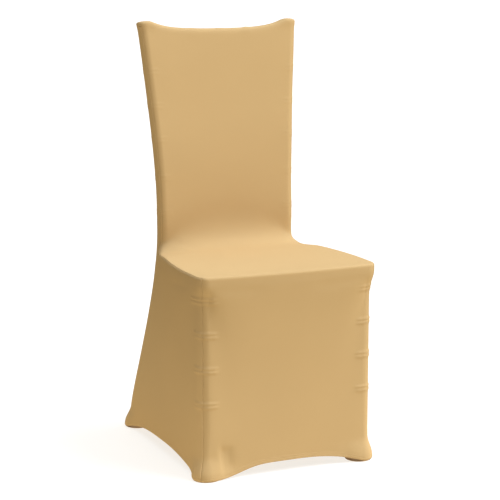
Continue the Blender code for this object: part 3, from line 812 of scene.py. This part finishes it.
def add_layers(cloth):
    """(panel number, distance from the hem, distance from the seams, map)"""
    verts = cloth.verts.layers.float
    hem, seam = verts.new("from_hem"), verts.new("from_seam")
    return cloth.faces.layers.int.new("panel"), hem, seam, cloth.loops.layers.uv.new("cloth")


def add_grid(skin, panel, columns, rows, place, middle):
    """A grid of cloth laid on the form."""
    across, up = len(columns) - 1, len(rows) - 1
    points = [[place(value, j, row) for j, row in enumerate(rows)] for value in columns]
    over = [run_lengths([points[i][j] for i in range(across + 1)], middle) for j in range(up + 1)]
    rise = [run_lengths(points[i], 0) for i in range(across + 1)]
    grid = bmesh.new()
    bmesh.ops.create_grid(grid, x_segments=across, y_segments=up, size=0.5)
    mark, hem, seam, cloth_map = add_layers(grid)
    cells = {}
    unused = []
    for vert in grid.verts:
        i, j = round((vert.co.x + 0.5) * across), round((vert.co.y + 0.5) * up)
        cells[vert] = (over[j][i], rise[i][j])
        if points[i][j] is None:
            unused.append(vert)
            continue
        top = max(index for index in range(up + 1) if points[i][index] is not None)
        sides = (abs(over[j][i] - over[j][0]), abs(over[j][across] - over[j][i]))
        vert[hem] = rise[i][j]
        vert[seam] = min(*sides, rise[i][top] - rise[i][j])
        vert.co = points[i][j]
    for face in grid.faces:
        face[mark] = panel
        for loop in face.loops:
            loop[cloth_map].uv = cells[loop.vert]
    bmesh.ops.delete(grid, geom=unused, context="VERTS")
    mesh = bpy.data.meshes.new("grid")
    grid.to_mesh(mesh)
    grid.free()
    skin.from_mesh(mesh)
    bpy.data.meshes.remove(mesh)


def skin_of_cloth():
    """The cover's whole outer face, welded at the seams."""
    skin = bmesh.new()
    add_layers(skin)
    across = across_columns()
    along = along_columns()
    skirt_rows = len(skirt_heights()) + EDGE_STEPS

    def front(value, _, row):
        return across_point(row, value)

    def side(sign):
        def place(value, index, row):
            if index >= skirt_rows and value < 2.0 - TINY:
                return None
            return sunk(row(value), sign)

        return place

    middle = len(across) // 2
    add_grid(skin, 0, across, front_rows(), front, middle)
    add_grid(skin, 1, across, back_rows(), front, middle)
    add_grid(skin, 2, along, side_rows(), side(-1.0), -1)
    add_grid(skin, 3, along, side_rows(), side(1.0), -1)
    bmesh.ops.remove_doubles(skin, verts=skin.verts, dist=WELD)
    bmesh.ops.recalc_face_normals(skin, faces=skin.faces)
    return skin


def in_sweep(point):
    return SWEEP_SOFT_LOW < point.z - SEAT_TOP < SWEEP_SOFT_HIGH and point.y > SWEEP_SOFT_Y


def in_sweep_corner(point):
    """At either end of the sweep, or anywhere round the rear just below it."""
    above = point.z - SEAT_TOP
    at_end = abs(point.x) > CORNER_SOFT_X and above < CORNER_SOFT_HIGH
    return point.y > CORNER_SOFT_Y and above > CORNER_SOFT_LOW and (at_end or above <= SWEEP_SOFT_LOW)


def beside_front_leg(point):
    """On the bend round a front leg, between the foot and the seat."""
    if point.y > 0.0 or not LEG_SOFT_LOW < point.z < SEAT_SIDE_FOOT:
        return False
    leg = front_leg(point.z)
    return math.hypot(abs(point.x) - leg.x, point.y - leg.y) < leg.radius + LEG_SOFT_REACH


def relax(skin):
    """Softens the sweep, its corners, the front legs, the crest and then all, as taut cloth would lie."""
    inner = [vert for vert in skin.verts if not vert.is_boundary]
    crest_foot = HORN_TOP - RAIL_DIP - CREST_SOFT_DEPTH
    zones = (
        (in_sweep, SWEEP_SOFT_TIMES),
        (in_sweep_corner, CORNER_SOFT_TIMES),
        (beside_front_leg, LEG_SOFT_TIMES),
        (lambda point: point.z > crest_foot, CREST_SOFT_TIMES),
        (lambda point: True, ALL_SOFT_TIMES),
    )
    chosen = [([vert for vert in inner if within(vert.co)], times) for within, times in zones]
    axes = {"use_axis_x": True, "use_axis_y": True, "use_axis_z": True}
    for verts, times in chosen:
        for _ in range(times):
            bmesh.ops.smooth_vert(skin, verts=verts, factor=SOFTENING, **axes)


# Relief: what the chair's rings, the sewing and the pull of the cloth add along its normals


def ridges(height, rings):
    """Two close ridges at each ring's height."""
    out = 0.0
    for middle in rings:
        for way in (-0.5, 0.5):
            out += bell(height - middle - way * RIDGE_APART, RIDGE_WIDTH)
    return out


def ring_relief(point):
    """The posts' rings under the cloth, fading beside the post."""
    if point.z < SEAT_SIDE_FOOT:
        post, rings, gain = front_leg(point.z), FRONT_LEG_RINGS, LEG_RING_GAIN
        slack = TOP_RING_SLACK if point.z > TOP_RING_FOOT else LEG_RING_SLACK
    else:
        post, rings, gain, slack = rear_post(point.z), BACK_POST_RINGS, BACK_RING_GAIN, 0.0
    beside = math.hypot(abs(point.x) - post.x, point.y - post.y) - post.radius - slack
    return gain * ridges(point.z, rings) * bell(max(beside, 0.0), RING_FADE)


def rail_relief(point):
    """The top rail's rings under the crest."""
    near = eased((point.z - HORN_TOP + RAIL_DIP + RAIL_RING_DEPTH) / RAIL_RING_DEPTH)
    return near * sum(bell(point.x - middle, RAIL_RING_WIDTH) for middle in RAIL_RINGS)


def crease_relief(point):
    """The listed creases."""
    out = 0.0
    for start, end, width, depth in CREASES:
        start, end = Vector(start), Vector(end)
        run = end - start
        share = min(max((point - start).dot(run) / run.length_squared, 0.0), 1.0)
        away = (point - start - run * share).length
        if away < CREASE_REACH * width:
            taper = eased(min(share, 1.0 - share) / CREASE_TAPER + CREASE_END_SHARE)
            out -= depth * bell(away, width) * taper
    return out


def hem_relief(from_hem, sizes):
    """The doubled cloth of the hem, with the stitch line pulled in along its top."""
    doubled = sizes.hem_rise * eased((sizes.hem_width - from_hem) / HEM_SOFTNESS + 0.5)
    from_stitches = from_hem - sizes.hem_width + HEM_SOFTNESS
    return doubled - sizes.hem_rise * STITCH_SHARE * bell(from_stitches, HEM_STEP)


def painted_light_at(point, normal):
    """How much lighter the knit is painted here, by the way it faces: painted light low down, most at the
    sides' lower edge where the floor's bounce light falls, and painted shade higher up towards the seat.
    """
    height = min(max(point.z / SEAT_SIDE_FOOT, 0.0), 1.0)
    side = mixed(SIDE_PAINTED_LIGHT_LOW, SIDE_PAINTED_SHADE_HIGH, height) * normal.x**2
    front = mixed(FRONT_PAINTED_LIGHT_LOW, FRONT_PAINTED_SHADE_HIGH, height) * max(-normal.y, 0.0) ** 2
    return side + front * eased((SEAT_TOP - point.z) / PAINTED_LIGHT_FADE)


def add_relief(skin, sizes):
    """Moves the skin along its normals and stores the painted light and shade at each point."""
    pale = skin.verts.layers.float.new("painted_light_and_shade")
    hem = skin.verts.layers.float["from_hem"]
    seam = skin.verts.layers.float["from_seam"]
    skin.normal_update()
    moves = {}
    for vert in skin.verts:
        point = vert.co
        # Painted light and shade, stored for the cloth's tone: lighter low on the sides, darker up at the
        # seat
        vert[pale] = painted_light_at(point, vert.normal)
        out = sizes.ring_height * ring_relief(point) + RAIL_RING_HEIGHT * rail_relief(point)
        out += crease_relief(point) + hem_relief(vert[hem], sizes)
        out -= sizes.seam_depth * bell(vert[seam], sizes.seam_width)
        uneven = noise.noise(point * WAVES_PER_METRE) * eased(vert[seam] / WAVE_FADE)
        out += sizes.unevenness * uneven
        moves[vert] = vert.normal * out
    for vert, move in moves.items():
        vert.co += move


def linked(name, data):
    made = bpy.data.objects.new(name, data)
    bpy.context.scene.collection.objects.link(made)
    return made


def mesh_object(name, source, material):
    mesh = bpy.data.meshes.new(name)
    source.to_mesh(mesh)
    source.free()
    mesh.materials.append(material)
    return linked(name, mesh)


def finished(name, source, material):
    """A smooth mesh object at the origin that rides on the cover's one body."""
    made = mesh_object(name, source, material)
    made.data.shade_smooth()
    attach(made, "root")
    return made


def add_panel(skin, number, node, sizes, material):
    """One panel cut from the skin and given its thickness."""
    panel = skin.copy()
    mark = panel.faces.layers.int["panel"]
    others = [face for face in panel.faces if face[mark] != number]
    bmesh.ops.delete(panel, geom=others, context="FACES")
    made = finished(node + "_cloth", panel, material)
    thickness = made.modifiers.new("cloth", "SOLIDIFY")
    thickness.thickness = sizes.cloth
    thickness.offset = -1.0
    thickness.use_rim = True
    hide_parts(node)
    return made


def pocket_profile(post_at):
    """(radius, height) round a foot pocket: its sole and rim, its outer wall and its inner wall."""
    heights = steps(POCKET_SOLE, POCKET_HEIGHT, WALL_ROWS)
    outer = [(post_at(height).radius - POCKET_CLEARANCE, height) for height in heights]
    inner = [(radius - POCKET_WALL, height) for radius, height in reversed(outer)]
    rim = []
    for angle in steps(0.0, 90.0, RIM_ROWS):
        turn = math.radians(angle)
        rim.append((SOLE_RADIUS - SOLE_RIM * (1.0 - math.sin(turn)), SOLE_RIM * (1.0 - math.cos(turn))))
    sole = [(share * SOLE_RADIUS, 0.0) for share in SOLE_RINGS]
    inner_sole = [(share * SOLE_RADIUS, POCKET_SOLE) for share in INNER_SOLE_RINGS]
    return [*sole, *rim, (SOLE_RADIUS - SOLE_TOP_INSET, POCKET_SOLE), *outer, *inner, *inner_sole]


def add_pocket(node, post_at, sign, material):
    """A turned cup, leaning with its post."""
    pocket = bmesh.new()
    points = [pocket.verts.new((radius, 0.0, height)) for radius, height in pocket_profile(post_at)]
    lines = [pocket.edges.new(pair) for pair in zip(points, points[1:])]
    bmesh.ops.spin(
        pocket, geom=points + lines, cent=(0.0, 0.0, 0.0), axis=(0.0, 0.0, 1.0),
        angle=math.tau, steps=POCKET_SEGMENTS, use_merge=True,
    )
    bmesh.ops.remove_doubles(pocket, verts=pocket.verts, dist=POCKET_WELD)
    for vert in pocket.verts:
        post = post_at(vert.co.z)
        vert.co = ((vert.co.x + post.x) * sign, vert.co.y + post.y, vert.co.z)
    bmesh.ops.recalc_face_normals(pocket, faces=pocket.faces)
    if pocket.calc_volume(signed=True) < 0.0:
        bmesh.ops.reverse_faces(pocket, faces=pocket.faces)
    made = finished(node + "_cloth", pocket, material)
    made.data.set_sharp_from_angle(angle=math.radians(POCKET_SHARP_ANGLE))
    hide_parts(node)
    return made


# Materials


def join_up(tree, source, socket, target, target_socket):
    tree.links.new(source.outputs[socket], target.inputs[target_socket])


def maths(tree, operation, first, second=None):
    """A Math node; each value is a number or an output socket."""
    node = tree.nodes.new("ShaderNodeMath")
    node.operation = operation
    for index, value in enumerate((first, second)):
        if isinstance(value, (int, float)):
            node.inputs[index].default_value = value
        elif value is not None:
            tree.links.new(value, node.inputs[index])
    return node.outputs[0]


def group_with(name, inputs, outputs):
    """A shader node group with float sockets, the inputs as {name: default}."""
    tree = bpy.data.node_groups.new(name, "ShaderNodeTree")
    for socket_name, default in inputs.items():
        socket = tree.interface.new_socket(socket_name, in_out="INPUT", socket_type="NodeSocketFloat")
        socket.default_value = default
    for socket_name in outputs:
        tree.interface.new_socket(socket_name, in_out="OUTPUT", socket_type="NodeSocketFloat")
    return tree, tree.nodes.new("NodeGroupInput"), tree.nodes.new("NodeGroupOutput")


def waves(tree, value):
    """Round humps, one for each whole step of the value."""
    return maths(tree, "ABSOLUTE", maths(tree, "SINE", maths(tree, "MULTIPLY", value, math.pi)))


def knit_group():
    """Columns of small loops on the cloth's own map: a height and a mask that is 1 on the loops."""
    pitches = {"Wale Pitch": 0.0011, "Course Pitch": 0.0009}
    tree, given, made = group_with("stretch knit", pitches, ("Height", "Loops"))
    cloth_map = tree.nodes.new("ShaderNodeUVMap")
    cloth_map.uv_map = "cloth"
    split = tree.nodes.new("ShaderNodeSeparateXYZ")
    join_up(tree, cloth_map, "UV", split, 0)
    ribs = waves(tree, maths(tree, "DIVIDE", split.outputs["X"], given.outputs["Wale Pitch"]))
    slant = maths(tree, "MULTIPLY", ribs, LOOP_SLANT)
    straight = maths(tree, "DIVIDE", split.outputs["Y"], given.outputs["Course Pitch"])
    loops = waves(tree, maths(tree, "ADD", straight, slant))
    ribs_part = maths(tree, "MULTIPLY", ribs, RIB_SHARE)
    height = maths(tree, "ADD", ribs_part, maths(tree, "MULTIPLY", loops, LOOP_SHARE))
    tree.links.new(height, made.inputs["Height"])
    tree.links.new(maths(tree, "POWER", height, LOOP_POWER), made.inputs["Loops"])
    return tree


def tone_and_painted_light_group():
    """Slow changes of tone, as dye and stretch leave them, plus the painted light and shade that only the
    panels store.
    """
    tree, given, made = group_with("cloth tone", {"Scale": TONE_SCALE}, ("Tone",))
    place = tree.nodes.new("ShaderNodeTexCoord")
    slow = tree.nodes.new("ShaderNodeTexNoise")
    slow.inputs["Detail"].default_value = TONE_DETAIL
    join_up(tree, place, "Object", slow, "Vector")
    tree.links.new(given.outputs["Scale"], slow.inputs["Scale"])
    spread = tree.nodes.new("ShaderNodeMapRange")
    for index, end in enumerate(("Min", "Max")):
        spread.inputs["From " + end].default_value = TONE_NOISE[index]
        spread.inputs["To " + end].default_value = TONE_RANGE[index]
    join_up(tree, slow, "Fac", spread, "Value")
    # The panels' painted light and shade, added to the tone
    painted_light_and_shade = tree.nodes.new("ShaderNodeAttribute")
    painted_light_and_shade.attribute_name = "painted_light_and_shade"
    total = maths(tree, "ADD", spread.outputs["Result"], painted_light_and_shade.outputs["Fac"])
    tree.links.new(total, made.inputs["Tone"])
    return tree


def new_material(name, roughness):
    """(material, its tree, its shader)"""
    material = bpy.data.materials.new(name)
    material.use_nodes = True
    shader = material.node_tree.nodes["Principled BSDF"]
    shader.inputs["Roughness"].default_value = roughness
    return material, material.node_tree, shader


def group_node(tree, name, make):
    """A node for a group that is made once and used again by name."""
    node = tree.nodes.new("ShaderNodeGroup")
    node.node_tree = bpy.data.node_groups.get(name) or make()
    return node


def add_toned_colour(tree, shader):
    """Feeds the base colour through the tone and any painted light and shade, and returns the socket for
    the plain colour.
    """
    shift = tree.nodes.new("ShaderNodeHueSaturation")
    join_up(tree, group_node(tree, "cloth tone", tone_and_painted_light_group), "Tone", shift, "Value")
    join_up(tree, shift, "Color", shader, "Base Color")
    return shift.inputs["Color"]


def add_bump(tree, source, socket, shader, strength, distance):
    bump = tree.nodes.new("ShaderNodeBump")
    bump.inputs["Strength"].default_value = strength
    bump.inputs["Distance"].default_value = distance
    join_up(tree, source, socket, bump, "Height")
    join_up(tree, bump, "Normal", shader, "Normal")


def cloth_material(colours, sizes):
    """Dull knit: loops of the light colour over the dark one, the dark one painted shade in the hollows
    between the loops, with a small bump.
    """
    material, tree, shader = new_material("sand stretch cloth", KNIT_ROUGHNESS)
    shader.inputs["Specular IOR Level"].default_value = 0.0
    loops = group_node(tree, "stretch knit", knit_group)
    loops.inputs["Wale Pitch"].default_value = sizes.wale_pitch
    loops.inputs["Course Pitch"].default_value = sizes.wale_pitch * COURSE_SHARE
    blend = tree.nodes.new("ShaderNodeMix")
    blend.data_type = "RGBA"
    blend.inputs["A"].default_value = colours.shade
    blend.inputs["B"].default_value = colours.cloth
    join_up(tree, loops, "Loops", blend, "Factor")
    tree.links.new(blend.outputs["Result"], add_toned_colour(tree, shader))
    add_bump(tree, loops, "Height", shader, KNIT_BUMP, sizes.wale_pitch * KNIT_BUMP_SHARE)
    return material


def pocket_material(colours):
    """The foot pockets' close woven cloth, on Object coordinates because a cup has no cut map."""
    material, tree, shader = new_material("foot pocket cloth", WEAVE_ROUGHNESS)
    place = tree.nodes.new("ShaderNodeTexCoord")
    weave = tree.nodes.new("ShaderNodeTexNoise")
    weave.inputs["Scale"].default_value = WEAVE_SCALE
    weave.inputs["Detail"].default_value = WEAVE_DETAIL
    join_up(tree, place, "Object", weave, "Vector")
    add_toned_colour(tree, shader).default_value = colours.sole
    add_bump(tree, weave, "Fac", shader, WEAVE_BUMP, WEAVE_BUMP_HEIGHT)
    return material


# Cut sizes of the panels: the cloth is cut smaller than the stretched panel
PANEL_CUTS = (
    # node, panel number, width, length, area
    ("front_panel", 0, 0.385, 1.225, 0.400),
    ("back_panel", 1, 0.355, 0.875, 0.272),
    ("side_panel_left", 2, 0.435, 0.870, 0.155),
    ("side_panel_right", 3, 0.435, 0.870, 0.155),
)


# Operators: one for the sewn panels, one for the foot pockets and one for the stage


class COVER_OT_panels(bpy.types.Operator):
    """Draw the four panels over the chair's form and cut them apart at their seams"""

    bl_idname = "cover.panels"
    bl_label = "Sewn panels"

    def execute(self, context):
        sizes = context.scene.cover_sizes
        material = cloth_material(context.scene.cover_colours, sizes)
        skin = skin_of_cloth()
        relax(skin)
        add_relief(skin, sizes)
        for node, number, width, length, area in PANEL_CUTS:
            add_panel(skin, number, node, sizes, material)
        skin.free()
        return {"FINISHED"}


class COVER_OT_foot_pockets(bpy.types.Operator):
    """Turn a closed cup for each leg and set its sole on the floor"""

    bl_idname = "cover.foot_pockets"
    bl_label = "Foot pockets"

    def execute(self, context):
        material = pocket_material(context.scene.cover_colours)
        for side, sign in (("left", -1.0), ("right", 1.0)):
            add_pocket("foot_pocket_front_" + side, front_leg, sign, material)
            add_pocket("foot_pocket_rear_" + side, rear_post, sign, material)
        return {"FINISHED"}


def aimed(name, data, spot, back):
    """An object at a spot that looks away from its back."""
    made = linked(name, data)
    made.location = spot
    made.rotation_euler = back.to_track_quat("Z", "Y").to_euler()
    return made


def add_sun(name, way, strength, softness):
    light = bpy.data.lights.new(name, "SUN")
    light.energy = math.pi * strength
    light.angle = math.radians(softness)
    light.color = SUN_TINT
    aimed(name, light, Vector(way) * SUN_DISTANCE, Vector(way))


def add_floor(base):
    """A wide round floor that glows, so that the shadows on it stay light."""
    plane = bmesh.new()
    bmesh.ops.create_circle(plane, cap_ends=True, segments=FLOOR_SIDES, radius=FLOOR_RADIUS)
    material, _, shader = new_material("pale floor", FLOOR_ROUGHNESS)
    shader.inputs["Base Color"].default_value = base
    shader.inputs["Specular IOR Level"].default_value = 0.0
    shader.inputs["Emission Color"].default_value = FLOOR_GLOW
    shader.inputs["Emission Strength"].default_value = FLOOR_GLOW_STRENGTH
    floor = mesh_object("floor", plane, material)


def add_world(scene):
    world = bpy.data.worlds.new("dim white world")
    world.use_nodes = True
    background = world.node_tree.nodes["Background"]
    background.inputs["Color"].default_value = (1.0, 1.0, 1.0, 1.0)
    background.inputs["Strength"].default_value = WORLD_STRENGTH
    scene.world = world
    scene.view_settings.view_transform = "Standard"


def add_camera(scene):
    turn, lift = math.radians(CAMERA_AZIMUTH), math.radians(CAMERA_ELEVATION)
    back = Vector((math.sin(turn) * math.cos(lift), -math.cos(turn) * math.cos(lift), math.sin(lift)))
    data = bpy.data.cameras.new("camera")
    data.lens = CAMERA_LENS
    data.sensor_width = SENSOR
    scene.camera = aimed("camera", data, Vector(CAMERA_TARGET) + back * CAMERA_DISTANCE, back)


class COVER_OT_stage(bpy.types.Operator):
    """Lay the pale floor, set the soft lights and place the camera"""

    bl_idname = "cover.stage"
    bl_label = "Stage"

    def execute(self, context):
        add_floor(context.scene.cover_colours.floor)
        add_world(context.scene)
        for sun in SUNS:
            add_sun(*sun)
        add_camera(context.scene)
        return {"FINISHED"}


class COVER_PT_panel(bpy.types.Panel):
    """The cover's pieces, sizes and colours"""

    bl_idname = "COVER_PT_panel"
    bl_label = "Chair cover"
    bl_space_type = "VIEW_3D"
    bl_region_type = "UI"
    bl_category = "Chair cover"

    def draw(self, context):
        for group in (context.scene.cover_sizes, context.scene.cover_colours):
            for name in group.__annotations__:
                self.layout.prop(group, name)
        for operator in OPERATORS:
            self.layout.operator(operator.bl_idname)


OPERATORS = (COVER_OT_panels, COVER_OT_foot_pockets, COVER_OT_stage)
CLASSES = (CoverSizes, CoverColours, *OPERATORS, COVER_PT_panel)


def register():
    for item in CLASSES:
        bpy.utils.register_class(item)
    bpy.types.Scene.cover_sizes = bpy.props.PointerProperty(type=CoverSizes)
    bpy.types.Scene.cover_colours = bpy.props.PointerProperty(type=CoverColours)


def unregister():
    del bpy.types.Scene.cover_colours
    del bpy.types.Scene.cover_sizes
    for item in reversed(CLASSES):
        bpy.utils.unregister_class(item)


def main():
    register()
    bpy.ops.cover.panels()
    bpy.ops.cover.foot_pockets()
    bpy.ops.cover.stage()


if __name__ == "__main__":
    main()
